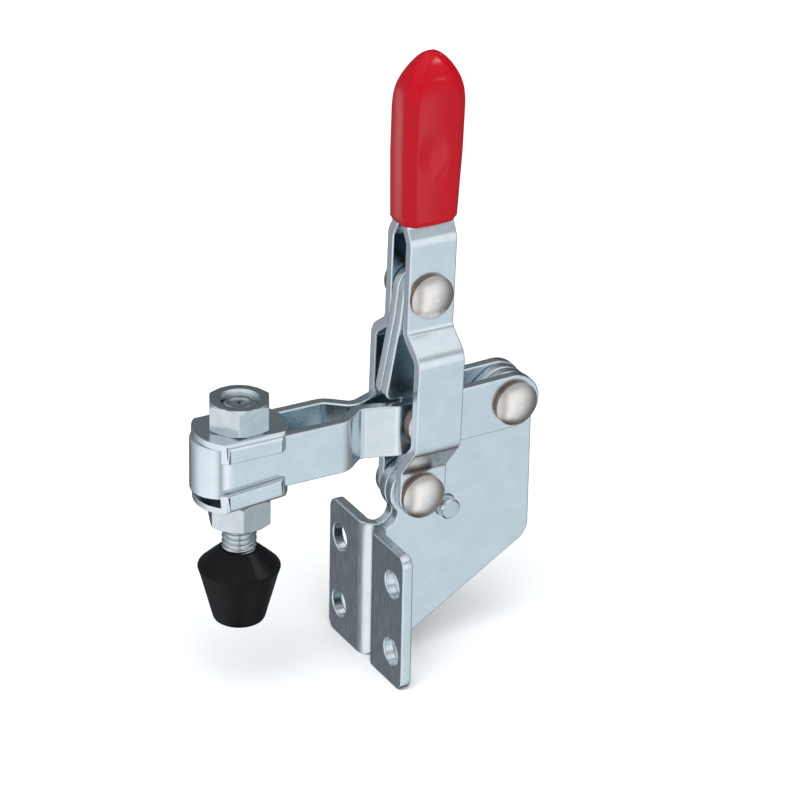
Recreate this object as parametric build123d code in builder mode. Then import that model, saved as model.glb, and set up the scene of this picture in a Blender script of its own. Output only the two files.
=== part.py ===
from build123d import *
import os
from math import acos, asin, atan2, cos, degrees, radians, sin, tan

os.makedirs("parts", exist_ok=True)

# ---------------------------------------------------------------------------
# A small vertical toggle clamp with a flanged base. x runs forward from the
# mounting face of the flange, y to the clamp's left and z up. The origin is
# the centre of the four bolt holes. Driving dimensions: millimetres, degrees.
# ---------------------------------------------------------------------------

# Sheet metal and the layers it is stacked in, outwards from the middle
sheet = 2.0
middle_gap = 0.1
layer_gap = 0.1
bend_radius = 1.0

# Fits
running_fit = 0.05
tight_fit = 0.02
slide_fit = 0.05
slot_play = 0.1

# Flange
flange_width = 26.8
flange_top = 13.2
flange_bottom = -12.9
flange_corner = 2.0
bolt_edge = 3.85
bolt_pitch = 13.2
bolt_hole_diameter = 5.0

# Web of the base plates
handle_lug_radius = 4.9
arm_lug_radius = 4.8
neck_depth = 5.0
neck_fillet = 2.5
web_rear_bottom = 5.8
web_slope_foot = 1.0

# Pivots and the handle's travel
handle_pivot_x = -8.5
handle_pivot_z = 19.5
arm_pivot_x = -26.5
arm_pivot_z = 33.3
arm_link_pivot_x = -9.3
arm_link_pivot_z = 33.2
crank_length = 37.6
handle_lean = 1.4
handle_open = 60.0

# Rivets and stop pin
rivet_diameter = 4.0
rivet_head_diameter = 8.0
rivet_head_height = 2.2
rivet_head_rim = 0.8
stop_pin_diameter = 3.8
stop_pin_distance = 7.4
stop_pin_edge = 0.3

# Handle plates
handle_width = 8.9
handle_offset = 0.3
joggle_reach = 4.55
joggle_out_height = 5.8
joggle_in_height = 3.4
joggle_out_clear = 1.1
joggle_in_clear = 2.8
lean_height = 2.5
lean_below_grip = 0.6
strip_gap = 1.3
strip_top = 95.6
handle_bend_radius = 2.5

# Grip
grip_bottom = 70.0
grip_top = 99.9
grip_bottom_width = 10.6
grip_width = 11.8
grip_depth = 7.8
grip_corner = 1.8
grip_shoulder = 93.4
grip_swell = 0.2
dome_end_angle = 80.0
dome_steps = 4

# Arm
arm_height = 9.5
arm_level = 32.65
arm_eye_radius = 4.95
arm_slot_width = 6.4
nose_center = 28.1
leg_rear = 6.6
neck_front = 2.9
neck_rear = 1.4
neck_gap = 0.3
flare_rear = -3.9
arm_bend_radius = 3.0
neck_bend_radius = 1.6

# Links
link_head_radius = 4.0
link_foot_radius = 4.2
link_web = 1.1
blade_front = -4.9
blade_top = 52.7
toe_front = -2.1
toe_lift = 0.5
toe_radius = 1.3
slot_steps = 12

# Spindle assembly
spindle_x = 24.5
thread_diameter = 6.0
nut_flats = 10.0
nut_height = 5.0
nut_chamfer = 30.0
nut_sink = 0.45
upper_nut_turn = 3.5
lower_nut_turn = 10.5
washer_diameter = 16.2
washer_sheet = 1.2
washer_lip = 2.3
washer_lip_edge = 0.3
washer_bore_play = 0.3
lower_washer_tilt = 4.5
spindle_end_drop = 0.6
spindle_end_chamfer = 0.6
spindle_dish_diameter = 3.6
spindle_dish_depth = 0.3

# Rubber tip
tip_bottom = 1.8
tip_foot_diameter = 9.0
tip_foot_edge = 0.8
tip_rim_diameter = 14.28
tip_rim_level = 11.9
tip_rim_edge = 0.5
tip_top = 15.6
tip_top_diameter = 6.6
head_height = 4.0
head_bottom = 8.2

# ---------------------------------------------------------------------------
# Layers and the linkage, worked out from the driving dimensions
# ---------------------------------------------------------------------------

inner_face = middle_gap / 2
inner_back = inner_face + sheet
outer_face = inner_back + layer_gap
outer_back = outer_face + sheet
rivet_radius = rivet_diameter / 2
rivet_head_radius = rivet_head_diameter / 2
handle_half = handle_width / 2
handle_pivot = Vector(handle_pivot_x, handle_pivot_z)
arm_pivot = Vector(arm_pivot_x, arm_pivot_z)
arm_link_pivot = Vector(arm_link_pivot_x, arm_link_pivot_z)
link_pivot = handle_pivot + Vector(0, crank_length).rotate(Axis.Z, handle_lean)


def side_plane(y):
    """The plane at distance y to the left, drawn in x and z."""
    return Plane.XZ.offset(-y)


def direction(vector):
    """The angle of a vector in the side view, from forward towards up."""
    return degrees(atan2(vector.Y, vector.X))


# Fully open, the link pin on the arm lies where its circle about the arm pivot
# meets the link's circle about the link pivot.
link_pivot_open = handle_pivot + (link_pivot - handle_pivot).rotate(Axis.Z, handle_open)
arm_radius = (arm_link_pivot - arm_pivot).length
link_length = (link_pivot - arm_link_pivot).length
open_reach = (link_pivot_open - arm_pivot).length
open_corner = degrees(
    acos((arm_radius**2 + open_reach**2 - link_length**2) / (2 * arm_radius * open_reach))
)
open_direction = direction(link_pivot_open - arm_pivot) - open_corner
arm_turn = open_direction - direction(arm_link_pivot - arm_pivot)
arm_link_pivot_open = arm_pivot + (arm_link_pivot - arm_pivot).rotate(Axis.Z, arm_turn)
link_direction_open = direction(link_pivot_open - arm_link_pivot_open)
link_turn = (link_direction_open - direction(link_pivot - arm_link_pivot)) % 360


def link_pin_in_link(part_open):
    """Where the handle's link rivet stands in the link at a share of the opening."""
    on_handle = handle_pivot + (link_pivot - handle_pivot).rotate(Axis.Z, handle_open * part_open)
    on_arm = arm_pivot + (arm_link_pivot - arm_pivot).rotate(Axis.Z, arm_turn * part_open)
    return arm_link_pivot + (on_handle - on_arm).rotate(Axis.Z, -link_turn * part_open)


# ---------------------------------------------------------------------------
# Base plates: two mirrored pressings, each a web with a flange folded outward
# ---------------------------------------------------------------------------

web_rear = arm_pivot.X - arm_lug_radius
bend_outer = bend_radius + sheet
bolt_y = flange_width / 2 - bolt_edge
stop_pin_direction = (
    90
    + handle_lean
    + handle_open
    + degrees(
        asin((handle_half + handle_offset + stop_pin_diameter / 2 + running_fit) / stop_pin_distance)
    )
)
stop_pin_center = handle_pivot + Vector(stop_pin_distance, 0).rotate(Axis.Z, stop_pin_direction)

with BuildPart() as base_plate_left:
    # Plan section: web, bend and flange, as tall as the whole plate
    with BuildSketch(Plane.XY.offset(flange_bottom)):
        with BuildLine():
            Polyline(
                (-bend_outer, inner_face),
                (web_rear, inner_face),
                (web_rear, inner_back),
                (-bend_outer, inner_back),
            )
            bend_center = (-bend_outer, inner_face + bend_outer)
            CenterArc(bend_center, bend_radius, -90, 90)
            Polyline(
                (-sheet, inner_face + bend_outer),
                (-sheet, flange_width / 2),
                (0, flange_width / 2),
                (0, inner_face + bend_outer),
            )
            CenterArc(bend_center, bend_outer, -90, 90)
        make_face()
    extrude(amount=arm_pivot.Y + arm_lug_radius - flange_bottom)
    # Side outline: two lugs on a web that runs down to the flange
    with BuildSketch(side_plane(0)) as web_outline:
        with Locations(handle_pivot):
            Circle(handle_lug_radius)
        with Locations(arm_pivot):
            Circle(arm_lug_radius)
        make_hull()
        with BuildLine():
            Polyline(
                (arm_pivot.X, arm_pivot.Y),
                (web_rear, arm_pivot.Y),
                (web_rear, web_rear_bottom),
                (-web_slope_foot, flange_bottom),
                (0, flange_bottom),
                (0, flange_top),
                (-neck_depth, flange_top),
                (-neck_depth, handle_pivot.Y),
                (handle_pivot.X, handle_pivot.Y),
                close=True,
            )
        make_face()
        neck_corner = web_outline.vertices().sort_by_distance((-neck_depth, flange_top))[0]
        fillet(neck_corner, radius=neck_fillet)
    extrude(amount=-flange_width, both=True, mode=Mode.INTERSECT)
    # Flange corners and bolt holes
    fillet(
        base_plate_left.edges().filter_by(Axis.X).group_by(Axis.Y)[-1],
        radius=flange_corner,
    )
    with Locations(Plane.YZ):
        with Locations((bolt_y, bolt_pitch / 2), (bolt_y, -bolt_pitch / 2)):
            Hole(radius=bolt_hole_diameter / 2, depth=sheet)
    # Rivet and stop pin holes through the web
    with Locations(side_plane(inner_back)):
        with Locations(handle_pivot, arm_pivot):
            Hole(radius=rivet_radius + tight_fit, depth=2 * sheet)
        with Locations(stop_pin_center):
            Hole(radius=stop_pin_diameter / 2 + tight_fit, depth=2 * sheet)

with BuildPart() as base_plate_right:
    mirror(base_plate_left.part, about=Plane.XZ)

base_plate_left.part.label = "base_plate_left"
export_step(base_plate_left.part, "parts/base_plate_left.step")
base_plate_right.part.label = "base_plate_right"
export_step(base_plate_right.part, "parts/base_plate_right.step")

# ---------------------------------------------------------------------------
# Rivets: a plain shank with a domed head outside each outer plate
# ---------------------------------------------------------------------------


def rivet(pivot, seat):
    """A rivet across the clamp at a pivot, with its heads seated at y = seat."""
    axis_plane = Plane(origin=(pivot.X, 0, pivot.Y), x_dir=(0, 1, 0), z_dir=(1, 0, 0))
    with BuildPart() as body:
        with BuildSketch(axis_plane):
            with BuildLine():
                rim = (seat + rivet_head_rim, rivet_head_radius)
                crown = (seat + rivet_head_height, 0)
                Polyline(
                    (0, 0),
                    (0, rivet_radius),
                    (seat, rivet_radius),
                    (seat, rivet_head_radius),
                    rim,
                )
                TangentArc(crown, rim, tangent=(0, 1))
                Line(crown, (0, 0))
            make_face()
        revolve(axis=Axis((pivot.X, 0, pivot.Y), (0, 1, 0)))
        mirror(about=Plane.XZ)
    return body


arm_pivot_rivet = rivet(arm_pivot, outer_back + layer_gap)
arm_pivot_rivet.part.label = "arm_pivot_rivet"
export_step(arm_pivot_rivet.part, "parts/arm_pivot_rivet.step")

handle_pivot_rivet = rivet(handle_pivot, outer_back + layer_gap)
handle_pivot_rivet.part.label = "handle_pivot_rivet"
export_step(handle_pivot_rivet.part, "parts/handle_pivot_rivet.step")

handle_link_rivet = rivet(link_pivot, outer_back)
handle_link_rivet.part.label = "handle_link_rivet"
export_step(handle_link_rivet.part, "parts/handle_link_rivet.step")

arm_link_rivet = rivet(arm_link_pivot, outer_back)
arm_link_rivet.part.label = "arm_link_rivet"
export_step(arm_link_rivet.part, "parts/arm_link_rivet.step")

# ---------------------------------------------------------------------------
# Stop pin: stands out of both base plates where the opened handle meets it
# ---------------------------------------------------------------------------

with BuildPart() as stop_pin:
    with BuildSketch(side_plane(0)):
        with Locations(stop_pin_center):
            Circle(stop_pin_diameter / 2)
    extrude(amount=outer_back, both=True)
    chamfer(stop_pin.edges().filter_by(GeomType.CIRCLE), length=stop_pin_edge)

stop_pin.part.label = "stop_pin"
export_step(stop_pin.part, "parts/stop_pin.step")

# ---------------------------------------------------------------------------
# Handle plates: strips joggled out over the arm, then leaning in to the grip
# ---------------------------------------------------------------------------

handle_frame = Plane(
    origin=(handle_pivot.X, 0, handle_pivot.Y),
    x_dir=(cos(radians(handle_lean)), 0, sin(radians(handle_lean))),
    z_dir=(0, -1, 0),
)
strip_length = strip_top - handle_pivot.Y
strip_inner = strip_gap / 2 + sheet / 2
strip_outer = outer_face + sheet / 2
strip_joggled = strip_outer + joggle_reach
joggle_out_start = handle_pivot.Y + rivet_head_radius + joggle_out_clear
joggle_out_end = joggle_out_start + joggle_out_height
joggle_in_end = link_pivot.Y - rivet_head_radius - joggle_in_clear
joggle_in_start = joggle_in_end - joggle_in_height
lean_end = grip_bottom - lean_below_grip
lean_start = lean_end - lean_height

with BuildPart() as handle_plate_left:
    # Edge-on profile of one strip with its joggle and its lean
    with BuildSketch(Plane.YZ):
        with BuildLine() as strip_line:
            FilletPolyline(
                (strip_outer, handle_pivot.Y - handle_width),
                (strip_outer, joggle_out_start),
                (strip_joggled, joggle_out_end),
                (strip_joggled, joggle_in_start),
                (strip_outer, joggle_in_end),
                (strip_outer, lean_start),
                (strip_inner, lean_end),
                (strip_inner, grip_top),
                radius=handle_bend_radius,
            )
        trace(line_width=sheet)
    extrude(amount=4 * handle_width, both=True)
    # Side outline, rounded about the pivot and at the end inside the grip
    with BuildSketch(handle_frame):
        with Locations((-handle_offset, strip_length / 2 - handle_half / 2)):
            SlotCenterToCenter(strip_length - handle_half, handle_width, rotation=90)
    extrude(amount=grip_bottom_width, both=True, mode=Mode.INTERSECT)
    with Locations(side_plane(outer_back + joggle_reach)):
        with Locations(handle_pivot):
            Hole(radius=rivet_radius + running_fit, depth=4 * sheet)
        with Locations(link_pivot):
            Hole(radius=rivet_radius + tight_fit, depth=4 * sheet)

with BuildPart() as handle_plate_right:
    mirror(handle_plate_left.part, about=Plane.XZ)

handle_plate_left.part.label = "handle_plate_left"
export_step(handle_plate_left.part, "parts/handle_plate_left.step")
handle_plate_right.part.label = "handle_plate_right"
export_step(handle_plate_right.part, "parts/handle_plate_right.step")

# ---------------------------------------------------------------------------
# Grip: a moulded sleeve, rounded oblong in section, closed by a dome
# ---------------------------------------------------------------------------

dome_height = grip_top - grip_shoulder
grip_waist = (grip_bottom + grip_shoulder) / 2
grip_waist_width = (grip_bottom_width + grip_width) / 2 + grip_swell
body_sections = [
    (grip_bottom, grip_bottom_width, grip_depth),
    (grip_waist, grip_waist_width, grip_depth),
    (grip_shoulder, grip_width, grip_depth),
]
dome_angles = [radians(dome_end_angle * step / dome_steps) for step in range(dome_steps + 1)]
dome_sections = [
    (
        grip_shoulder + dome_height * sin(rise),
        grip_width * cos(rise),
        grip_depth * cos(rise),
    )
    for rise in dome_angles
]


def grip_plane(level):
    """The cross-section plane of the handle at a height above the origin."""
    along = Vector(0, level - handle_pivot.Y).rotate(Axis.Z, handle_lean)
    across = Vector(-handle_offset, 0).rotate(Axis.Z, handle_lean)
    center = handle_pivot + along + across
    return Plane(
        origin=(center.X, 0, center.Y),
        x_dir=handle_frame.x_dir,
        z_dir=handle_frame.y_dir,
    )


with BuildPart() as grip:
    for sections in (body_sections, dome_sections):
        for level, width, depth in sections:
            with BuildSketch(grip_plane(level)):
                RectangleRounded(width, depth, grip_corner * width / grip_bottom_width)
        loft(ruled=True)
    # Pocket for the two strips
    with BuildSketch(handle_frame):
        with Locations((-handle_offset, strip_length / 2 - handle_half / 2)):
            SlotCenterToCenter(
                strip_length - handle_half,
                handle_width + 2 * tight_fit,
                rotation=90,
            )
    extrude(amount=strip_gap / 2 + sheet + tight_fit, both=True, mode=Mode.SUBTRACT)

grip.part.label = "grip"
export_step(grip.part, "parts/grip.step")

# ---------------------------------------------------------------------------
# Hold-down arm: one strip folded round the nose, necked in and flared out
# ---------------------------------------------------------------------------

leg_line = arm_slot_width / 2 + sheet / 2
neck_line = neck_gap / 2 + sheet / 2
arm_bottom = arm_level - arm_height / 2
arm_top = arm_level + arm_height / 2

with BuildPart() as hold_down_arm:
    # Plan of one leg along the middle of the sheet, from the nose to the eye
    with BuildSketch(Plane.XY.offset(arm_pivot.Y - 2 * arm_eye_radius)):
        with BuildLine():
            CenterArc((nose_center, 0), leg_line, 0, 90)
            FilletPolyline(
                (nose_center, leg_line),
                (leg_rear, leg_line),
                (neck_front, neck_line),
                (neck_rear, neck_line),
                (flare_rear, strip_outer),
                (arm_pivot.X - 2 * arm_eye_radius, strip_outer),
                radius=[arm_bend_radius, neck_bend_radius, neck_bend_radius, arm_bend_radius],
            )
        trace(line_width=sheet)
        mirror(about=Plane.XZ)
    extrude(amount=4 * arm_eye_radius)
    # Side outline: level in front, running out to a round eye at the pivot
    with BuildSketch(side_plane(0)):
        with Locations(arm_pivot):
            Circle(arm_eye_radius)
        with BuildLine():
            Line((neck_rear, arm_bottom), (neck_rear, arm_top))
        make_hull()
        with Locations((neck_rear, arm_level)):
            Rectangle(nose_center + leg_line, arm_height, align=(Align.MIN, Align.CENTER))
    extrude(amount=2 * leg_line, both=True, mode=Mode.INTERSECT)
    with Locations(side_plane(outer_back)):
        with Locations(arm_pivot):
            Hole(radius=rivet_radius + running_fit, depth=2 * outer_back)
        with Locations(arm_link_pivot):
            Hole(radius=rivet_radius + tight_fit, depth=2 * outer_back)

hold_down_arm.part.label = "hold_down_arm"
export_step(hold_down_arm.part, "parts/hold_down_arm.step")

# ---------------------------------------------------------------------------
# Links: two plates with a toe that stops on the arm just over centre, and an
# opening that lets the handle's rivet run while the linkage folds
# ---------------------------------------------------------------------------

slot_radius = rivet_radius + slot_play
slot_centers = [link_pin_in_link(step / slot_steps) for step in range(slot_steps + 1)]
slot_back = min(slot_centers, key=lambda center: center.X)
toe_level = arm_top + toe_lift

with BuildPart() as link_left:
    with BuildSketch(side_plane(inner_back)) as link_outline:
        with Locations(link_pivot):
            Circle(link_head_radius)
        with Locations(slot_back):
            Circle(slot_radius + link_web)
        with Locations(arm_link_pivot):
            Circle(link_foot_radius)
        make_hull()
        with BuildLine():
            Polyline(
                (link_pivot.X, link_pivot.Y),
                (link_pivot.X + link_head_radius, link_pivot.Y),
                (blade_front, blade_top),
                (toe_front, toe_level),
                (arm_link_pivot.X, toe_level),
                close=True,
            )
        make_face()
        toe = link_outline.vertices().sort_by_distance((toe_front, toe_level))[0]
        fillet(toe, radius=toe_radius)
    extrude(amount=sheet)
    with BuildSketch(side_plane(inner_back)):
        with Locations(*slot_centers):
            Circle(slot_radius)
        make_hull()
    extrude(amount=sheet, mode=Mode.SUBTRACT)
    with Locations(side_plane(inner_back)):
        with Locations(arm_link_pivot):
            Hole(radius=rivet_radius + running_fit, depth=2 * sheet)

with BuildPart() as link_right:
    mirror(link_left.part, about=Plane.XZ)

link_left.part.label = "link_left"
export_step(link_left.part, "parts/link_left.step")
link_right.part.label = "link_right"
export_step(link_right.part, "parts/link_right.step")

# ---------------------------------------------------------------------------
# Flanged washers: discs whose sides are folded over the arm. The upper one lies
# flat, and the lower one hangs a little loose, touching the arm with its rear
# ---------------------------------------------------------------------------

washer_seat = arm_top + slide_fit
washer_top = washer_seat + washer_sheet
washer_inner = leg_line + sheet / 2 + slot_play
washer_outer = washer_inner + washer_sheet

with BuildPart() as upper_washer:
    with BuildSketch(Plane.YZ.offset(spindle_x - washer_diameter / 2)) as washer_profile:
        with Locations((0, washer_top)):
            Rectangle(2 * washer_outer, washer_sheet + washer_lip, align=(Align.CENTER, Align.MAX))
        fillet(washer_profile.vertices().group_by(Axis.Y)[-1], radius=washer_sheet)
        fillet(washer_profile.vertices().group_by(Axis.Y)[0], radius=washer_lip_edge)
        with Locations((0, washer_seat)):
            Rectangle(
                2 * washer_inner,
                2 * washer_lip,
                align=(Align.CENTER, Align.MAX),
                mode=Mode.SUBTRACT,
            )
    extrude(amount=washer_diameter)
    with BuildSketch(Plane.XY.offset(washer_top)):
        with Locations((spindle_x, 0)):
            Circle(washer_diameter / 2)
    extrude(amount=-2 * (washer_sheet + washer_lip), mode=Mode.INTERSECT)
    with Locations((spindle_x, 0, washer_top)):
        Hole(radius=thread_diameter / 2 + washer_bore_play, depth=2 * washer_sheet)

lower_seat = 2 * arm_level - washer_seat
tilt_axis = Axis((spindle_x - washer_diameter / 2, 0, lower_seat), (0, 1, 0))

with BuildPart() as lower_washer:
    flat_washer = mirror(upper_washer.part, about=Plane.XY.offset(arm_level), mode=Mode.PRIVATE)
    add(flat_washer.rotate(tilt_axis, lower_washer_tilt))

upper_washer.part.label = "upper_washer"
export_step(upper_washer.part, "parts/upper_washer.step")
lower_washer.part.label = "lower_washer"
export_step(lower_washer.part, "parts/lower_washer.step")

# ---------------------------------------------------------------------------
# Nuts: chamfered hexagons, one above and one below the arm
# ---------------------------------------------------------------------------


spindle_axis = Axis((spindle_x, 0, 0), (0, 0, 1))


def nut(bottom, turn):
    """A hexagon nut about the spindle, its corners chamfered at both ends."""
    corner_radius = nut_flats / 2 / cos(radians(30))
    chamfer_drop = (corner_radius - nut_flats / 2) * tan(radians(nut_chamfer))
    with BuildPart() as body:
        with BuildSketch(Plane.XY.offset(bottom)):
            with Locations((spindle_x, 0)):
                RegularPolygon(corner_radius, 6, rotation=turn)
        extrude(amount=nut_height)
        with BuildSketch(Plane.XZ):
            with BuildLine():
                Polyline(
                    (spindle_x, bottom),
                    (spindle_x + nut_flats / 2, bottom),
                    (spindle_x + corner_radius, bottom + chamfer_drop),
                    (spindle_x + corner_radius, bottom + nut_height - chamfer_drop),
                    (spindle_x + nut_flats / 2, bottom + nut_height),
                    (spindle_x, bottom + nut_height),
                    close=True,
                )
            make_face()
        revolve(axis=spindle_axis, mode=Mode.INTERSECT)
        with Locations((spindle_x, 0, bottom + nut_height)):
            Hole(radius=thread_diameter / 2 + running_fit, depth=nut_height)
        bore_edges = body.edges().filter_by(GeomType.CIRCLE).sort_by(SortBy.RADIUS)[:2]
        chamfer(bore_edges, length=nut_sink)
    return body


upper_nut = nut(washer_top, upper_nut_turn)
upper_nut.part.label = "upper_nut"
export_step(upper_nut.part, "parts/upper_nut.step")

# The lower nut carries the front of the tilted washer on its upper face
tilt = radians(lower_washer_tilt)
washer_drop = (washer_diameter / 2 + nut_flats / 2) * tan(tilt) + washer_sheet / cos(tilt)
lower_nut = nut(lower_seat - washer_drop - tight_fit - nut_height, lower_nut_turn)
lower_nut.part.label = "lower_nut"
export_step(lower_nut.part, "parts/lower_nut.step")

# ---------------------------------------------------------------------------
# Spindle: a hexagon bolt hanging head down, its end just below the upper nut
# ---------------------------------------------------------------------------

spindle_top = washer_top + nut_height - spindle_end_drop

with BuildPart() as spindle:
    with BuildSketch(Plane.XY.offset(head_bottom)):
        with Locations((spindle_x, 0)):
            RegularPolygon(nut_flats / 2, 6, major_radius=False)
    extrude(amount=head_height)
    with BuildSketch(Plane.XY.offset(head_bottom)):
        with Locations((spindle_x, 0)):
            Circle(thread_diameter / 2)
    extrude(amount=spindle_top - head_bottom)
    chamfer(spindle.edges().sort_by(Axis.Z)[-1], length=spindle_end_chamfer)
    with Locations((spindle_x, 0, spindle_top)):
        Hole(radius=spindle_dish_diameter / 2, depth=spindle_dish_depth)

spindle.part.label = "spindle"
export_step(spindle.part, "parts/spindle.step")

# ---------------------------------------------------------------------------
# Rubber tip: moulded round the bolt's head, tapering down to a flat foot
# ---------------------------------------------------------------------------

with BuildPart() as rubber_tip:
    with BuildSketch(Plane.XZ) as tip_profile:
        with BuildLine():
            Polyline(
                (spindle_x, tip_bottom),
                (spindle_x + tip_foot_diameter / 2, tip_bottom),
                (spindle_x + tip_rim_diameter / 2, tip_rim_level),
                (spindle_x + tip_top_diameter / 2, tip_top),
                (spindle_x, tip_top),
                close=True,
            )
        make_face()
        foot_corner = (spindle_x + tip_foot_diameter / 2, tip_bottom)
        fillet(tip_profile.vertices().sort_by_distance(foot_corner)[0], radius=tip_foot_edge)
        rim_corner = (spindle_x + tip_rim_diameter / 2, tip_rim_level)
        fillet(tip_profile.vertices().sort_by_distance(rim_corner)[0], radius=tip_rim_edge)
    revolve(axis=spindle_axis)
    # Pocket for the bolt's head and shank
    with BuildSketch(Plane.XY.offset(head_bottom - tight_fit)):
        with Locations((spindle_x, 0)):
            RegularPolygon(nut_flats / 2 + tight_fit, 6, major_radius=False)
    extrude(amount=head_height + 2 * tight_fit, mode=Mode.SUBTRACT)
    with Locations((spindle_x, 0, tip_top)):
        Hole(radius=thread_diameter / 2 + tight_fit, depth=tip_top - head_bottom)

rubber_tip.part.label = "rubber_tip"
export_step(rubber_tip.part, "parts/rubber_tip.step")
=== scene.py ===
import math

import bmesh
import bpy
from mathutils import Matrix, Vector


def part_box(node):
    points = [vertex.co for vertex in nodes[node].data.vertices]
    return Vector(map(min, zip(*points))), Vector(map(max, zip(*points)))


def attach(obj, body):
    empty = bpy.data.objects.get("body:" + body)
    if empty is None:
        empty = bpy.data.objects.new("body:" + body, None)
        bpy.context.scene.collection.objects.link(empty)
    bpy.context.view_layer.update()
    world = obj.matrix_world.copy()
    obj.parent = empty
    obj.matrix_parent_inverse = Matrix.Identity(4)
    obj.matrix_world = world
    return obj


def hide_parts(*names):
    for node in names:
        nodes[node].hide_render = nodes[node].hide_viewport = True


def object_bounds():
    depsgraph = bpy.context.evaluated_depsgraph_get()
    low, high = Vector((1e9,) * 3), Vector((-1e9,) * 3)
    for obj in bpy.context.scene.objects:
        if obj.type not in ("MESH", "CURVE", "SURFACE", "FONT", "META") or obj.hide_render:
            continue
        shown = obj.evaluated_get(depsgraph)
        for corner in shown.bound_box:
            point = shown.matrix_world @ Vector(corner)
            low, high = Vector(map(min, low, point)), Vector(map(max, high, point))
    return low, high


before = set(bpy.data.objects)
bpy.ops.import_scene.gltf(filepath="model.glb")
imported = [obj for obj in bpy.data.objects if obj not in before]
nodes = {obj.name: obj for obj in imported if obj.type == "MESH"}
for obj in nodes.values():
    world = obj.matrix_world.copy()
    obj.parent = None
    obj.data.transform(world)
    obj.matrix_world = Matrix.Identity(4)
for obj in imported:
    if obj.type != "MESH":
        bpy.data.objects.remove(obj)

cad_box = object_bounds()


# The view: from the clamp's front left and a little above it, through a long
# lens that stands three quarters of a metre away, turned by about a degree.
mm = 0.001
view_azimuth = math.radians(150.84)
view_elevation = math.radians(26.64)
view_roll = math.radians(1.13)
view_distance = 744.9 * mm
view_right, view_up = 6.1 * mm, 33.76 * mm
lens_length, sensor_width = 192.7, 36

level = math.cos(view_elevation)
toward_camera = Vector((
    math.sin(view_azimuth) * level,
    -math.cos(view_azimuth) * level,
    math.sin(view_elevation),
))
flat_right = Vector((0, 0, 1)).cross(toward_camera).normalized()
flat_up = toward_camera.cross(flat_right)
camera_right = flat_right * math.cos(view_roll) + flat_up * math.sin(view_roll)
camera_up = flat_up * math.cos(view_roll) - flat_right * math.sin(view_roll)

camera_data = bpy.data.cameras.new("camera")
camera_data.lens = lens_length
camera_data.sensor_width = sensor_width
camera_data.clip_start, camera_data.clip_end = 0.01, 20
camera = bpy.data.objects.new("camera", camera_data)
bpy.context.scene.collection.objects.link(camera)
turn = Matrix((camera_right, camera_up, toward_camera)).transposed().to_4x4()
stand = camera_right * view_right + camera_up * view_up + toward_camera * view_distance
camera.matrix_world = Matrix.Translation(stand) @ turn
bpy.context.scene.camera = camera
bpy.context.scene.view_settings.view_transform = "Standard"


# The studio: white card walls round the clamp, seen only in its reflections.
# Each wall tone stands at its compass heading, from forward towards the left,
# in three rows: from below up to eye level, at eye level, and above it. The
# rows meet at heights from -1, straight down, to 1, straight up.
low_walls = [
    (-180, (0.17, 0.17, 0.17)),
    (-150, (0.14, 0.145, 0.15)),
    (-119, (0.05, 0.06, 0.07)),
    (-85, (0.13, 0.14, 0.155)),
    (-61, (0.34, 0.36, 0.39)),
    (-38, (0.60, 0.64, 0.68)),
    (-15, (0.92, 0.96, 1.00)),
    (50, (1.02, 1.05, 1.08)),
    (60, (0.66, 0.70, 0.74)),
    (67, (0.20, 0.23, 0.26)),
    (77, (0.96, 0.99, 1.02)),
    (90, (1.12, 1.14, 1.15)),
    (105, (0.82, 0.90, 0.94)),
    (125, (0.64, 0.74, 0.79)),
    (145, (0.46, 0.50, 0.52)),
    (160, (0.30, 0.29, 0.28)),
    (171, (0.19, 0.18, 0.17)),
]
middle_walls = [
    (-180, (0.16, 0.17, 0.18)),
    (-150, (0.10, 0.11, 0.12)),
    (-119, (0.07, 0.08, 0.09)),
    (-80, (0.20, 0.22, 0.24)),
    (-45, (0.50, 0.54, 0.57)),
    (0, (0.86, 0.90, 0.93)),
    (50, (1.05, 1.08, 1.10)),
    (66, (0.40, 0.44, 0.47)),
    (85, (1.05, 1.08, 1.09)),
    (115, (0.95, 1.00, 1.02)),
    (145, (0.55, 0.60, 0.63)),
    (165, (0.26, 0.27, 0.28)),
]
high_walls = [
    (-180, (0.22, 0.24, 0.26)),
    (-150, (0.13, 0.145, 0.155)),
    (-119, (0.13, 0.155, 0.165)),
    (-90, (0.21, 0.24, 0.26)),
    (-60, (0.46, 0.50, 0.53)),
    (0, (0.72, 0.76, 0.79)),
    (60, (0.50, 0.54, 0.57)),
    (130, (0.46, 0.50, 0.53)),
    (165, (0.40, 0.43, 0.45)),
]
ceiling_tone = (0.90, 0.94, 0.97)
ground_tone = (0.06, 0.045, 0.035)
low_meets_middle = (-0.32, -0.05)
middle_meets_high = (0.35, 0.45)
high_meets_ceiling = (0.60, 0.82)
ground_meets_low = (-0.98, -0.84)

world = bpy.data.worlds.new("studio")
bpy.context.scene.world = world
world.use_nodes = True
sky = world.node_tree
sky.nodes.clear()


def sky_node(kind, **settings):
    """A node of the studio's world, with its settings."""
    node = sky.nodes.new("ShaderNode" + kind)
    for name, value in settings.items():
        setattr(node, name, value)
    return node


def walls(name, heading, tones):
    """A ramp of wall tones by compass heading."""
    ramp = sky_node("ValToRGB", label=name)
    ramp.color_ramp.interpolation = "EASE"
    stops = ramp.color_ramp.elements
    first, *others = tones
    stops[0].position = 0
    stops[0].color = (*first[1], 1)
    stops[1].position = 1
    stops[1].color = (*first[1], 1)
    for degree, tone in others:
        stops.new((degree + 180) / 360).color = (*tone, 1)
    sky.links.new(heading, ramp.inputs["Fac"])
    return ramp.outputs["Color"]


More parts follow.
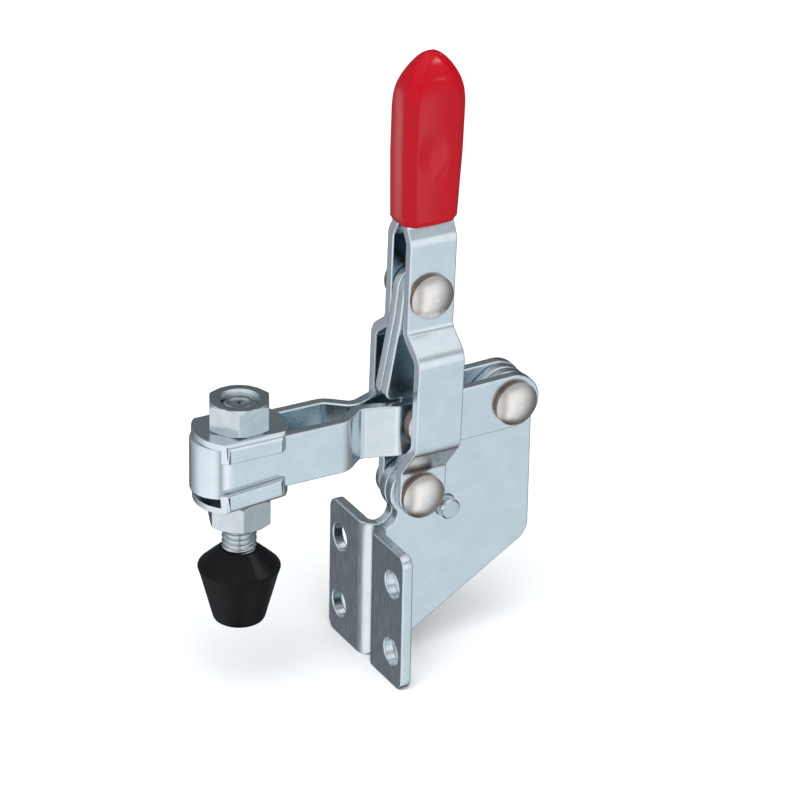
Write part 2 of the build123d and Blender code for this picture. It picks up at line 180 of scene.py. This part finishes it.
def blend_tone(lower, upper, meeting):
    """Goes from one tone up to another between two heights."""
    share = sky_node("MapRange", interpolation_type="SMOOTHSTEP")
    share.inputs["From Min"].default_value, share.inputs["From Max"].default_value = meeting
    sky.links.new(direction.outputs["Z"], share.inputs["Value"])
    mix = sky_node("Mix", data_type="RGBA")
    sky.links.new(share.outputs["Result"], mix.inputs["Factor"])
    for socket, tone in (("A", lower), ("B", upper)):
        if isinstance(tone, tuple):
            mix.inputs[socket].default_value = (*tone, 1)
        else:
            sky.links.new(tone, mix.inputs[socket])
    return mix.outputs["Result"]


look = sky_node("TexCoord")
direction = sky_node("SeparateXYZ")
sky.links.new(look.outputs["Generated"], direction.inputs[0])
angle = sky_node("Math", operation="ARCTAN2")
sky.links.new(direction.outputs["Y"], angle.inputs[0])
sky.links.new(direction.outputs["X"], angle.inputs[1])
heading = sky_node("MapRange")
heading.inputs["From Min"].default_value = -math.pi
heading.inputs["From Max"].default_value = math.pi
sky.links.new(angle.outputs[0], heading.inputs["Value"])
low, middle, high = (
    walls(name, heading.outputs["Result"], tones)
    for name, tones in (
        ("low walls", low_walls),
        ("middle walls", middle_walls),
        ("high walls", high_walls),
    )
)
tone = blend_tone(low, middle, low_meets_middle)
tone = blend_tone(tone, high, middle_meets_high)
tone = blend_tone(tone, ceiling_tone, high_meets_ceiling)
tone = blend_tone(ground_tone, tone, ground_meets_low)
shine = sky_node("Background")
sky.links.new(tone, shine.inputs["Color"])
sky_out = sky_node("OutputWorld")
sky.links.new(shine.outputs[0], sky_out.inputs["Surface"])


# The floor: a wide pale board under the flange, lit from above by one large
# soft lamp. Polished metal doesn't mirror it, as in a studio with a dark apron.
floor_size = 6.0
floor_tone = (0.96, 0.96, 0.96, 1)
lamp_place = Vector((0.5, 0.7, 1.5))
lamp_size = 1.8
lamp_power = 27

floor_mesh = bpy.data.meshes.new("floor")
floor_shape = bmesh.new()
bmesh.ops.create_grid(floor_shape, x_segments=1, y_segments=1, size=floor_size / 2)
bmesh.ops.translate(floor_shape, verts=floor_shape.verts, vec=(0, 0, cad_box[0].z))
floor_shape.to_mesh(floor_mesh)
floor_shape.free()
floor = bpy.data.objects.new("floor", floor_mesh)
bpy.context.scene.collection.objects.link(floor)
floor_paint = bpy.data.materials.new("floor board")
floor_paint.use_nodes = True
floor_shader = floor_paint.node_tree.nodes["Principled BSDF"]
floor_shader.inputs["Base Color"].default_value = floor_tone
floor_shader.inputs["Roughness"].default_value = 0.9
floor_shader.inputs["Specular IOR Level"].default_value = 0
floor_mesh.materials.append(floor_paint)
floor.visible_glossy = False

lamp_data = bpy.data.lights.new("soft lamp", "AREA")
lamp_data.shape = "DISK"
lamp_data.size = lamp_size
lamp_data.energy = lamp_power
lamp = bpy.data.objects.new("soft lamp", lamp_data)
bpy.context.scene.collection.objects.link(lamp)
lamp_aim = lamp_place.to_track_quat("Z", "Y").to_matrix().to_4x4()
lamp.matrix_world = Matrix.Translation(lamp_place) @ lamp_aim
lamp.visible_glossy = False


# Base plates: two pressings of bright zinc-plated steel, back to back, each
# with half of the flange folded out. Their edges are tumbled round and the
# flange's face is rougher. The flange's face also gets a painted dark tone in
# place of the dark surroundings it mirrors, and the faces between the plates
# get painted shade.
merge_reach = 0.002 * mm
flat_angle = math.radians(0.3)
tumbled_edge, tumbled_steps = 0.32 * mm, 3
corner_reach, corner_steps = 0.05 * mm, 8
sharp_angle = math.radians(28)
relief_depth = 0.05 * mm
inner_shade_speckle, ahead_shade_speckle = 1.05, 1.5


def feed(tree, socket, value):
    """Links a socket to another, or gives it a fixed value."""
    if isinstance(value, bpy.types.NodeSocket):
        tree.links.new(value, socket)
    else:
        socket.default_value = value


def put(tree, kind, settings=None, **inputs):
    """A new node of a material or group, with its settings and its inputs."""
    node = tree.nodes.new("ShaderNode" + kind)
    for name, value in (settings or {}).items():
        setattr(node, name, value)
    for name, value in inputs.items():
        feed(tree, node.inputs[name.replace("_", " ")], value)
    return node


def reckon(tree, operation, *values):
    """The result of one sum on sockets or numbers, in their order."""
    node = put(tree, "Math", {"operation": operation})
    for socket, value in zip(node.inputs, values):
        feed(tree, socket, value)
    return node.outputs[0]


def colour_mix(tree, share, under, over, blend="MIX"):
    """A colour between two others, or two laid over each other."""
    settings = {"data_type": "RGBA", "blend_type": blend}
    return put(tree, "Mix", settings, Factor=share, A=under, B=over).outputs["Result"]


def new_group(name, given, made):
    """A node group with its inputs and outputs, and the node of each."""
    group = bpy.data.node_groups.new(name, "ShaderNodeTree")
    for label, kind, value in given:
        socket = group.interface.new_socket(
            label, in_out="INPUT", socket_type="NodeSocket" + kind
        )
        socket.default_value = value
    for label, kind in made:
        group.interface.new_socket(label, in_out="OUTPUT", socket_type="NodeSocket" + kind)
    return group, group.nodes.new("NodeGroupInput"), group.nodes.new("NodeGroupOutput")


def plating_group():
    """Bright plating: clouds of two tones, fine grain and short streaks."""
    group, given, made = new_group(
        "bright plating",
        (
            ("Light tone", "Color", (0.80, 0.85, 0.885, 1)),
            ("Dark tone", "Color", (0.73, 0.785, 0.825, 1)),
            ("Cloud size", "Float", 260.0),
            ("Grain size", "Float", 2600.0),
            ("Low roughness", "Float", 0.20),
            ("High roughness", "Float", 0.32),
        ),
        (
            ("Colour", "Color"),
            ("Roughness", "Float"),
            ("Height", "Float"),
            ("Speckle", "Float"),
        ),
    )
    streak_stretch = (1, 1, 0.12)
    streak_share, grain_height = 0.4, 0.5
    place = put(group, "TexCoord").outputs["Object"]
    cloud = put(
        group,
        "TexNoise",
        Vector=place,
        Scale=given.outputs["Cloud size"],
        Detail=5,
        Roughness=0.62,
    ).outputs["Fac"]
    grain_size = given.outputs["Grain size"]
    grain = put(group, "TexNoise", Vector=place, Scale=grain_size, Detail=3)
    long_way = put(group, "Mapping", Vector=place, Scale=streak_stretch).outputs[0]
    streak = put(group, "TexNoise", Vector=long_way, Scale=grain_size, Detail=2)
    patch = put(group, "MapRange", Value=cloud, From_Min=0.34, From_Max=0.68)
    tone = colour_mix(
        group,
        patch.outputs["Result"],
        given.outputs["Light tone"],
        given.outputs["Dark tone"],
    )
    speckle = put(group, "MapRange", Value=streak.outputs["Fac"], From_Min=0.42, From_Max=0.72)
    fine = put(
        group,
        "Mix",
        Factor=streak_share,
        A=grain.outputs["Fac"],
        B=streak.outputs["Fac"],
    ).outputs[0]
    rough = put(
        group,
        "MapRange",
        Value=fine,
        From_Min=0.3,
        From_Max=0.7,
        To_Min=given.outputs["Low roughness"],
        To_Max=given.outputs["High roughness"],
    )
    for label, value in (
        ("Colour", tone),
        ("Roughness", rough.outputs["Result"]),
        ("Height", reckon(group, "MULTIPLY_ADD", fine, grain_height, cloud)),
        ("Speckle", speckle.outputs["Result"]),
    ):
        group.links.new(value, made.inputs[label])
    return group


def facing_group():
    """Masks by the way a face looks, for painted shade: to the middle plane, or straight ahead.
    """
    group, given, made = new_group(
        "facing",
        (("Start", "Float", 0.80), ("End", "Float", 0.96)),
        (("Inward", "Float"), ("Ahead", "Float")),
    )
    place = put(group, "TexCoord")
    way = put(group, "SeparateXYZ", Vector=place.outputs["Normal"])
    spot = put(group, "SeparateXYZ", Vector=place.outputs["Object"])
    side = reckon(group, "SIGN", spot.outputs["Y"])
    outward = reckon(group, "MULTIPLY", side, way.outputs["Y"])
    inward = reckon(group, "MULTIPLY", outward, -1)
    for value, label in ((inward, "Inward"), (way.outputs["X"], "Ahead")):
        mask = put(
            group,
            "MapRange",
            {"interpolation_type": "SMOOTHSTEP"},
            Value=value,
            From_Min=given.outputs["Start"],
            From_Max=given.outputs["End"],
        )
        group.links.new(mask.outputs["Result"], made.inputs[label])
    return group


bright_plating = plating_group()
facing = facing_group()


def new_material(name):
    """A material with its tree of nodes and its shader."""
    material = bpy.data.materials.new(name)
    material.use_nodes = True
    tree = material.node_tree
    return material, tree, tree.nodes["Principled BSDF"]


def plated_steel(name, bump, inner_shade_tone=None, ahead_shade_tone=None, ahead_roughness=0.0, **values):
    """Plated metal, with painted shade on faces that look inward and a painted dark tone on faces
    that look ahead.
    """
    material, tree, shader = new_material(name)
    shader.inputs["Metallic"].default_value = 1
    plating = put(tree, "Group", {"node_tree": bright_plating}, **values)
    colour, roughness = plating.outputs["Colour"], plating.outputs["Roughness"]
    if inner_shade_tone or ahead_shade_tone or ahead_roughness:
        masks = put(tree, "Group", {"node_tree": facing})
    # Painted shade: faces that look inward, and faces that look ahead, are darkened by these
    # tones.
    for label, tone, lighter in (
        ("Inward", inner_shade_tone, inner_shade_speckle),
        ("Ahead", ahead_shade_tone, ahead_shade_speckle),
    ):
        if tone:
            light_tone = (*(value * lighter for value in tone), 1)
            mottled = colour_mix(tree, plating.outputs["Speckle"], (*tone, 1), light_tone)
            colour = colour_mix(tree, masks.outputs[label], colour, mottled, "MULTIPLY")
    if ahead_roughness:
        ahead = masks.outputs["Ahead"]
        roughness = reckon(tree, "MULTIPLY_ADD", ahead, ahead_roughness, roughness)
    height = plating.outputs["Height"]
    relief = put(tree, "Bump", Strength=bump, Distance=relief_depth, Height=height)
    tree.links.new(colour, shader.inputs["Base Color"])
    tree.links.new(roughness, shader.inputs["Roughness"])
    tree.links.new(relief.outputs["Normal"], shader.inputs["Normal"])
    return material


def add_piece(name, shape, material, body, slot, *stands_for):
    """Makes a piece of a finished shape, and says what it rides on and replaces."""
    for face in shape.faces:
        face.smooth = True
    mesh = bpy.data.meshes.new(name)
    shape.to_mesh(mesh)
    shape.free()
    mesh.materials.append(material)
    piece = bpy.data.objects.new(name, mesh)
    bpy.context.scene.collection.objects.link(piece)
    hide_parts(*stands_for)
    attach(piece, body)
    return piece


def round_off(shape, lines, width, steps, **more):
    """Rounds the given edges of a shape."""
    bmesh.ops.bevel(
        shape,
        geom=lines,
        offset=width,
        offset_type="OFFSET",
        affect="EDGES",
        segments=steps,
        profile=0.5,
        material=-1,
        **more,
    )


def tumbled(node, body, slot, material, edge=tumbled_edge, corner=None, cut=0.0):
    """The node's own shape with its sharp edges rounded, in place of the node."""
    shape = bmesh.new()
    shape.from_mesh(nodes[node].data)
    bmesh.ops.remove_doubles(shape, verts=shape.verts, dist=merge_reach)
    bmesh.ops.dissolve_limit(
        shape, angle_limit=flat_angle, verts=shape.verts, edges=shape.edges
    )
    bmesh.ops.recalc_face_normals(shape, faces=shape.faces)
    if corner:
        x, z = corner
        across = [
            line for line in shape.edges
            if all(math.hypot(v.co.x - x, v.co.z - z) < corner_reach for v in line.verts)
        ]
        round_off(shape, across, cut, corner_steps)
    sharp = [
        line for line in shape.edges
        if line.is_manifold and line.calc_face_angle() > sharp_angle
    ]
    round_off(shape, sharp, edge, tumbled_steps, clamp_overlap=False, loop_slide=True)
    piece = add_piece(node + "_finished", shape, material, body, slot, node)
    level_faces = piece.modifiers.new("level faces", "WEIGHTED_NORMAL")
    level_faces.mode = "FACE_AREA"
    level_faces.weight = 50
    return piece


# Painted shade for the faces between the plates: a dark teal tone.
painted_shade_teal = (0.34, 0.42, 0.44)
# Painted shade on the faces between the plates, and a painted dark reflection on the flange's
# face.
base_zinc = plated_steel(
    "zinc on the base",
    0.08,
    inner_shade_tone=painted_shade_teal,
    ahead_shade_tone=(0.33, 0.345, 0.36),
    ahead_roughness=0.14,
)
rear_corner, rear_cut = (-31.3 * mm, 5.8 * mm), 2.0 * mm
for node in ("base_plate_left", "base_plate_right"):
    tumbled(node, "base", "zinc_steel", base_zinc, corner=rear_corner, cut=rear_cut)


# Handle plates and links: sheet pressings of the same plated steel, smoother
# than the base, with edges rounded by the same tumbling, and painted shade on
# the faces between the plates. Domed rivets carry them.
sheet_zinc = plated_steel(
    "zinc on the pressings",
    0.06,
    inner_shade_tone=painted_shade_teal,
    Low_roughness=0.17,
    High_roughness=0.27,
)
for node, body in (
    ("handle_plate_left", "handle"),
    ("handle_plate_right", "handle"),
    ("link_left", "links"),
    ("link_right", "links"),
):
    tumbled(node, body, "zinc_steel", sheet_zinc)


# Hold-down arm: one strip folded round its nose, of the same sheet. It is open
# above and below, so the light reaches its inner faces, and these get only a
# light painted shade.
arm_zinc = plated_steel(
    "zinc on the arm",
    0.06,
    # Painted shade, light: the arm's inward faces are darkened a little.
    inner_shade_tone=(0.80, 0.88, 0.90),
    Low_roughness=0.19,
    High_roughness=0.29,
)
tumbled("hold_down_arm", "arm", "zinc_steel", arm_zinc)


# Washers: two flanged pressings that clasp the arm's bars from above and below.
# Their sheared edges are only lightly broken.
washer_zinc = plated_steel(
    "zinc on the washers",
    0.06,
    Low_roughness=0.15,
    High_roughness=0.24,
)
for node in ("upper_washer", "lower_washer"):
    tumbled(node, "carrier", "zinc_steel", washer_zinc, edge=0.1 * mm)


# Nuts: two six-sided nuts, turned from bar and plated, each with both ends
# chamfered. They hold the washers on the arm from above and below.
nut_zinc = plated_steel(
    "zinc on the nuts",
    0.06,
    Light_tone=(0.70, 0.74, 0.76, 1),
    Dark_tone=(0.60, 0.64, 0.665, 1),
    Low_roughness=0.16,
    High_roughness=0.26,
)
for node in ("upper_nut", "lower_nut"):
    tumbled(node, "carrier", "bright_fasteners", nut_zinc, edge=0.12 * mm)


# Spindle: a long hexagon-headed screw with a real rolled thread. Its end is
# chamfered, with a shallow dish and a small mark raised at its centre, and its
# head is inside the rubber tip.
spindle_x = 24.5 * mm
spindle_foot = 8.2 * mm
head_height = 4.0 * mm
head_flats = 10.0 * mm
thread_radius = 3.0 * mm
root_radius = 2.45 * mm
thread_pitch = 1.0 * mm
crest_round = 0.06 * mm
thread_profile = [
    (root_radius, 1.00),
    (root_radius, 0.80),
    (thread_radius - crest_round, 0.50),
    (thread_radius, 0.43),
    (thread_radius, 0.37),
    (thread_radius - crest_round, 0.30),
    (root_radius, 0.00),
]
turn_steps, spare_turns = 48, 3
seam_reach = 0.003 * mm
thread_crease = math.radians(38)
end_chamfer = 0.6 * mm
dish_radius, dish_wall, dish_depth = 1.8 * mm, 0.06 * mm, 0.3 * mm
mark_radius, mark_wall, mark_rise = 0.32 * mm, 0.05 * mm, 0.1 * mm

spindle_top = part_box("spindle")[1].z
thread_start = spindle_foot + head_height
thread_turns = math.ceil((spindle_top - thread_start) / thread_pitch) + spare_turns
spindle_axis = Vector((spindle_x, 0, 0))


def turned_profile(points, axis):
    """A new shape with a line of edges through (radius, height) points."""
    shape = bmesh.new()
    line = [shape.verts.new(axis + Vector((radius, 0, height))) for radius, height in points]
    for start, end in zip(line, line[1:]):
        shape.edges.new((start, end))
    return shape


def off_axis(vert, axis):
    """How far a point stands off an upright axis, and which way."""
    reach = vert.co - axis
    reach.z = 0
    return reach


screw = turned_profile(
    [(radius, thread_start - back * thread_pitch) for radius, back in thread_profile],
    spindle_axis,
)
bmesh.ops.spin(
    screw,
    geom=screw.verts[:] + screw.edges[:],
    cent=spindle_axis,
    axis=(0, 0, 1),
    dvec=(0, 0, thread_pitch / turn_steps),
    angle=2 * math.pi * thread_turns,
    steps=turn_steps * thread_turns,
    use_duplicate=False,
)
bmesh.ops.remove_doubles(screw, verts=screw.verts, dist=seam_reach)
for height, way in ((thread_start, -1), (spindle_top, 1)):
    bmesh.ops.bisect_plane(
        screw,
        geom=screw.verts[:] + screw.edges[:] + screw.faces[:],
        plane_co=(0, 0, height),
        plane_no=(0, 0, way),
        clear_outer=True,
    )
for vert in screw.verts:
    reach = off_axis(vert, spindle_axis)
    most = thread_radius - max(0, vert.co.z - (spindle_top - end_chamfer))
    if reach.length > most:
        vert.co -= reach * (1 - most / reach.length)
rims = [line for line in screw.edges if line.is_boundary]
ends = bmesh.ops.holes_fill(screw, edges=rims, sides=0)["faces"]
end_face = max(ends, key=lambda face: face.calc_center_median().z)
for inset, rise in (
    (thread_radius - end_chamfer - dish_radius, 0),
    (dish_wall, -dish_depth),
    (dish_radius - dish_wall - mark_radius, 0),
    (mark_wall, mark_rise),
):
    bmesh.ops.inset_region(screw, faces=[end_face], thickness=inset, use_even_offset=True)
    bmesh.ops.translate(screw, verts=end_face.verts, vec=(0, 0, rise))
bmesh.ops.create_cone(
    screw,
    cap_ends=True,
    segments=6,
    radius1=head_flats / math.sqrt(3),
    radius2=head_flats / math.sqrt(3),
    depth=head_height,
    matrix=Matrix.Translation((spindle_x, 0, spindle_foot + head_height / 2)),
)
bmesh.ops.recalc_face_normals(screw, faces=screw.faces)
spindle = add_piece("spindle_screw", screw, nut_zinc, "spindle", "bright_fasteners", "spindle")
spindle.data.set_sharp_from_angle(angle=thread_crease)


# Rubber tip: a black rubber cap moulded over the spindle's head, with a small
# flat foot, a wide rounded rim, and the fine line of its mould on both sides.
tip_rings = [
    (0.0, 1.8), (3.70, 1.8), (4.06, 1.87), (4.36, 2.08), (4.55, 2.42),
    (5.10, 4.50), (5.66, 6.60), (6.22, 8.70), (6.72, 10.60), (6.98, 11.45),
    (7.08, 11.72), (7.12, 11.92), (7.06, 12.10), (6.90, 12.26), (6.30, 12.82),
    (5.40, 13.68), (4.40, 14.58), (3.60, 15.30), (3.40, 15.50), (3.20, 15.60),
    (3.02, 15.55), (2.95, 15.30), (2.6, 15.30), (0.0, 15.30),
]
tip_steps = 128
mould_line, mould_width = 0.08 * mm, 0.1 * mm
mould_from, mould_to = 4.4 * mm, 7.0 * mm


def moulded_skin_group():
    """A moulded skin: patches of two tones, and a fine grain in its gloss."""
    group, given, made = new_group(
        "moulded skin",
        (
            ("First tone", "Color", (0, 0, 0, 1)),
            ("Second tone", "Color", (0, 0, 0, 1)),
            ("Patch size", "Float", 200.0),
            ("Grain size", "Float", 1000.0),
            ("Grain detail", "Float", 3.0),
            ("Grain bite", "Float", 0.5),
            ("Low roughness", "Float", 0.2),
            ("High roughness", "Float", 0.4),
        ),
        (("Colour", "Color"), ("Roughness", "Float"), ("Height", "Float")),
    )
    place = put(group, "TexCoord").outputs["Object"]
    patch = put(group, "TexNoise", Vector=place, Scale=given.outputs["Patch size"], Detail=3)
    grain = put(
        group,
        "TexNoise",
        Vector=place,
        Scale=given.outputs["Grain size"],
        Detail=given.outputs["Grain detail"],
        Roughness=given.outputs["Grain bite"],
    ).outputs["Fac"]
    tone = colour_mix(
        group,
        patch.outputs["Fac"],
        given.outputs["First tone"],
        given.outputs["Second tone"],
    )
    rough = put(
        group,
        "MapRange",
        Value=grain,
        To_Min=given.outputs["Low roughness"],
        To_Max=given.outputs["High roughness"],
    )
    for label, value in (
        ("Colour", tone),
        ("Roughness", rough.outputs["Result"]),
        ("Height", grain),
    ):
        group.links.new(value, made.inputs[label])
    return group


moulded_skin = moulded_skin_group()
skin_depth = 0.03 * mm


def moulded(name, bump, gloss, **values):
    """A moulded or dipped material, with the strength of its grain and gloss."""
    material, tree, shader = new_material(name)
    skin = put(tree, "Group", {"node_tree": moulded_skin}, **values)
    height = skin.outputs["Height"]
    relief = put(tree, "Bump", Strength=bump, Distance=skin_depth, Height=height)
    tree.links.new(skin.outputs["Colour"], shader.inputs["Base Color"])
    tree.links.new(skin.outputs["Roughness"], shader.inputs["Roughness"])
    tree.links.new(relief.outputs["Normal"], shader.inputs["Normal"])
    shader.inputs["Specular IOR Level"].default_value = gloss
    return material


rubber = moulded(
    "black rubber",
    0.12,
    0.13,
    First_tone=(0.0015, 0.0015, 0.002, 1),
    Second_tone=(0.006, 0.006, 0.007, 1),
    Patch_size=240,
    Grain_size=1500,
    Grain_detail=4,
    Grain_bite=0.65,
    Low_roughness=0.28,
    High_roughness=0.42,
)

tip = turned_profile([(r * mm, z * mm) for r, z in tip_rings], spindle_axis)
bmesh.ops.spin(
    tip,
    geom=tip.verts[:] + tip.edges[:],
    cent=spindle_axis,
    axis=(0, 0, 1),
    angle=2 * math.pi,
    steps=tip_steps,
    use_merge=True,
)
bmesh.ops.remove_doubles(tip, verts=tip.verts, dist=merge_reach)
bmesh.ops.recalc_face_normals(tip, faces=tip.faces)
for vert in tip.verts:
    reach = off_axis(vert, spindle_axis)
    if mould_from < reach.length < mould_to and abs(reach.x) < mould_width:
        vert.co += reach.normalized() * mould_line
soft_tip = add_piece("moulded_tip", tip, rubber, "spindle", "black_rubber", "rubber_tip")


def sheen_lamp(name, shown_on, target, way, distance, size, glow):
    """A small lamp that one dark or glossy piece alone mirrors."""
    lamp_data = bpy.data.lights.new(name, "AREA")
    lamp_data.shape = "RECTANGLE"
    lamp_data.size, lamp_data.size_y = size
    lamp_data.energy = glow * math.pi * size[0] * size[1]
    lamp = bpy.data.objects.new(name, lamp_data)
    bpy.context.scene.collection.objects.link(lamp)
    away = Vector(way).normalized()
    aim = away.to_track_quat("Z", "Y").to_matrix().to_4x4()
    lamp.matrix_world = Matrix.Translation(target + away * distance) @ aim
    lamp.visible_camera = False
    only = bpy.data.collections.new(name)
    only.objects.link(shown_on)
    lamp.light_linking.receiver_collection = only


tip_heart = Vector((spindle_x, 0, 13 * mm))
sheen_lamp(
    "sheen on the tip",
    soft_tip,
    tip_heart,
    way=(-0.59, 0.31, 0.75),
    distance=0.4,
    size=(0.09, 0.09),
    glow=7,
)


# Rivets and stop pin: the rivets are nickel-bright steel, warmer than the zinc,
# with low domed heads, and a painted brown shade darkens each dome towards its
# rim. The stop pin is plated with the same zinc as the nuts.
nickel = plated_steel(
    "nickel",
    0.02,
    Light_tone=(0.93, 0.875, 0.84, 1),
    Dark_tone=(0.87, 0.81, 0.77, 1),
    Low_roughness=0.25,
    High_roughness=0.31,
)
tree = nickel.node_tree
nickel_shader = tree.nodes["Principled BSDF"]
plain_nickel = nickel_shader.inputs["Base Color"].links[0].from_socket
# Painted shade: each dome's colour is darkened towards its rim, where its face turns from the
# middle plane.
rim_shade_tone = (0.33, 0.26, 0.22, 1)
across = put(tree, "SeparateXYZ", Vector=put(tree, "TexCoord").outputs["Normal"])
rim = put(
    tree,
    "MapRange",
    {"interpolation_type": "SMOOTHSTEP"},
    Value=reckon(tree, "ABSOLUTE", across.outputs["Y"]),
    From_Min=0.92,
    From_Max=0.62,
)
painted_rim_shade = colour_mix(tree, rim.outputs["Result"], plain_nickel, rim_shade_tone, "MULTIPLY")
tree.links.new(painted_rim_shade, nickel_shader.inputs["Base Color"])
for node, material in (
    ("arm_pivot_rivet", nickel),
    ("handle_pivot_rivet", nickel),
    ("handle_link_rivet", nickel),
    ("arm_link_rivet", nickel),
    ("stop_pin", nut_zinc),
):
    nodes[node].data.materials.clear()
    nodes[node].data.materials.append(material)


# Grip: soft red vinyl, dipped over the two strips. It is drawn tight on their
# wide faces, so their rounded ends show through, and it has one small dent.
grip_low, grip_high = (corner.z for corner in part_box("grip"))
grip_middle = -8.8 * mm
lean_slope = math.tan(math.radians(1.4))
pivot_level = 19.5 * mm
half_widths = ((70.0, 5.30), (82.0, 5.80), (93.4, 5.90))
half_depth, grip_corner = 3.9 * mm, 1.9 * mm
dome_start, dome_power, dome_point, dome_depth_power = 89.8 * mm, 0.42, 0.30, 0.8
most_round, round_from, round_to = 0.94, 0.35, 0.95
lip_height, lip_tuck = 0.5 * mm, 0.05
strip_half, strip_arch = 4.45 * mm, 95.9 * mm
strip_inside, strip_outside, tight_step = 0.55 * mm, 0.35 * mm, 0.30 * mm
face_crown, face_from = 0.34 * mm, 0.55
front_crown, front_from = 0.40 * mm, 0.6
crown_to, least = 0.98, 0.1 * mm
dent_at, dent_size, dent_depth = (-9.39 * mm, 82.6 * mm), 2.3 * mm, 0.30 * mm
ridge_at, ridge_size, ridge_rise = (-11.5 * mm, 80.6 * mm), 1.9 * mm, 0.07 * mm
dent_height, dent_spread = 0.8, 1.6
body_rows, dome_rows, round_steps = 40, 30, 160
lip_rows = [0.12 * mm, 0.3 * mm]


def smooth(value, start, end):
    """Goes smoothly from 0 at start to 1 at end."""
    share = min(1, max(0, (value - start) / (end - start)))
    return share * share * (3 - 2 * share)


def grip_ring(level):
    """The centre, half width, half depth and corner of the grip at a level."""
    centre = grip_middle - (level - pivot_level) * lean_slope
    (low, narrow), (waist, swell), (top, wide) = half_widths
    height = min(level / mm, top)
    share = (height - low) / (waist - low) if height < waist else (height - waist) / (top - waist)
    start, end = (narrow, swell) if height < waist else (swell, wide)
    half_wide = (start + (end - start) * share) * mm
    rise = min(1, max(0, (level - dome_start) / (grip_high - dome_start)))
    dome = (1 - rise * rise) ** dome_power * (1 - dome_point * rise ** 4)
    lip = 1 - lip_tuck * (1 - smooth(level, grip_low, grip_low + lip_height))
    half_wide *= dome * lip
    half_deep = half_depth * dome ** dome_depth_power * lip
    full = most_round * min(half_wide, half_deep)
    rounder = smooth(rise, round_from, round_to)
    corner = min(full, grip_corner + (full - grip_corner) * rounder)
    return centre, half_wide, half_deep, corner


def ring_point(run, half_wide, half_deep, corner):
    """A point of a rounded rectangle, at a share of the way round it."""
    quarter, share = divmod(run * 4, 1)
    if quarter % 2:
        share = 1 - share
    side, arc, face = half_deep - corner, math.pi / 2 * corner, half_wide - corner
    way = share * (side + arc + face)
    if way < side:
        x, y = half_wide, way
    elif way < side + arc:
        turn = (way - side) / corner
        x, y = face + corner * math.cos(turn), side + corner * math.sin(turn)
    else:
        x, y = half_wide - corner - (way - side - arc), half_deep
    return (x if quarter in (0, 3) else -x), (y if quarter < 2 else -y)


def vinyl_point(run, level):
    """A point of the grip's skin, with the strips and the dent showing in it."""
    centre, half_wide, half_deep, corner = grip_ring(level)
    x, y = ring_point(run, half_wide, half_deep, corner)
    arch = max(0, level - (strip_arch - strip_half))
    reach = math.hypot(x, arch)
    tight = 1 - smooth(reach, strip_half - strip_inside, strip_half + strip_outside)
    skin = tight_step * (1 - tight) + face_crown * (x / max(half_wide, least)) ** 2
    if y > 0:
        for (spot_x, spot_z), size, depth in (
            (dent_at, dent_size, dent_depth),
            (ridge_at, ridge_size, -ridge_rise),
        ):
            apart = math.hypot(centre + x - spot_x, (level - spot_z) * dent_height)
            skin += depth * (1 - smooth(apart, 0, size * dent_spread))
    face_share = smooth(abs(y), half_deep * face_from, half_deep * crown_to)
    front = front_crown * (y / max(half_deep, least)) ** 2
    front_share = smooth(abs(x), half_wide * front_from, half_wide * crown_to)
    x -= math.copysign(min(front * front_share, abs(x)), x)
    y -= math.copysign(min(skin * face_share, abs(y)), y)
    return Vector((centre + x, y, level))


def next_ring(shape, edges):
    """Extrudes a ring of edges, and gives the new ring's points and edges."""
    grown = bmesh.ops.extrude_edge_only(shape, edges=edges)["geom"]
    points = [item for item in grown if isinstance(item, bmesh.types.BMVert)]
    found = set(points)
    ring = [
        item for item in grown
        if isinstance(item, bmesh.types.BMEdge) and found.issuperset(item.verts)
    ]
    return points, ring


vinyl = moulded(
    "red vinyl",
    0.06,
    0.19,
    First_tone=(0.37, 0.0, 0.008, 1),
    Second_tone=(0.325, 0.0, 0.006, 1),
    Patch_size=170,
    Grain_size=800,
    Low_roughness=0.20,
    High_roughness=0.28,
)

levels = [
    grip_low + (dome_start - grip_low) * row / body_rows for row in range(body_rows)
]
levels[1:1] = [grip_low + row for row in lip_rows]
levels += [
    dome_start + (grip_high - dome_start) * math.sin(math.pi / 2 * row / dome_rows)
    for row in range(dome_rows)
]
skin = bmesh.new()
ring = bmesh.ops.create_circle(skin, segments=round_steps, radius=half_depth)["verts"]
edges = skin.edges[:]
for index, vert in enumerate(ring):
    vert.co = vinyl_point(index / round_steps, grip_low)
bmesh.ops.contextual_create(skin, geom=edges)
for level in levels[1:]:
    ring, edges = next_ring(skin, edges)
    for index, vert in enumerate(ring):
        vert.co = vinyl_point(index / round_steps, level)
peak = Vector((grip_ring(grip_high)[0], 0, grip_high))
bmesh.ops.pointmerge(skin, verts=next_ring(skin, edges)[0], merge_co=peak)
bmesh.ops.recalc_face_normals(skin, faces=skin.faces)
grip = add_piece("vinyl_grip", skin, vinyl, "handle", "red_grip", "grip")

grip_heart = Vector((peak.x, 0, (grip_low + grip_high) / 2))
for name, way, distance, size, glow in (
    ("sheen on the grip's front", (0.57, -0.77, -0.28), 0.145, (0.024, 0.070), 2.2),
    ("sheen on the grip's side", (-0.31, 0.87, -0.32), 0.145, (0.030, 0.062), 1.9),
    ("sheen on the grip's crown", (-0.50, 0.60, 0.62), 0.5, (0.10, 0.08), 24),
):
    sheen_lamp(name, grip, grip_heart, way, distance, size, glow)
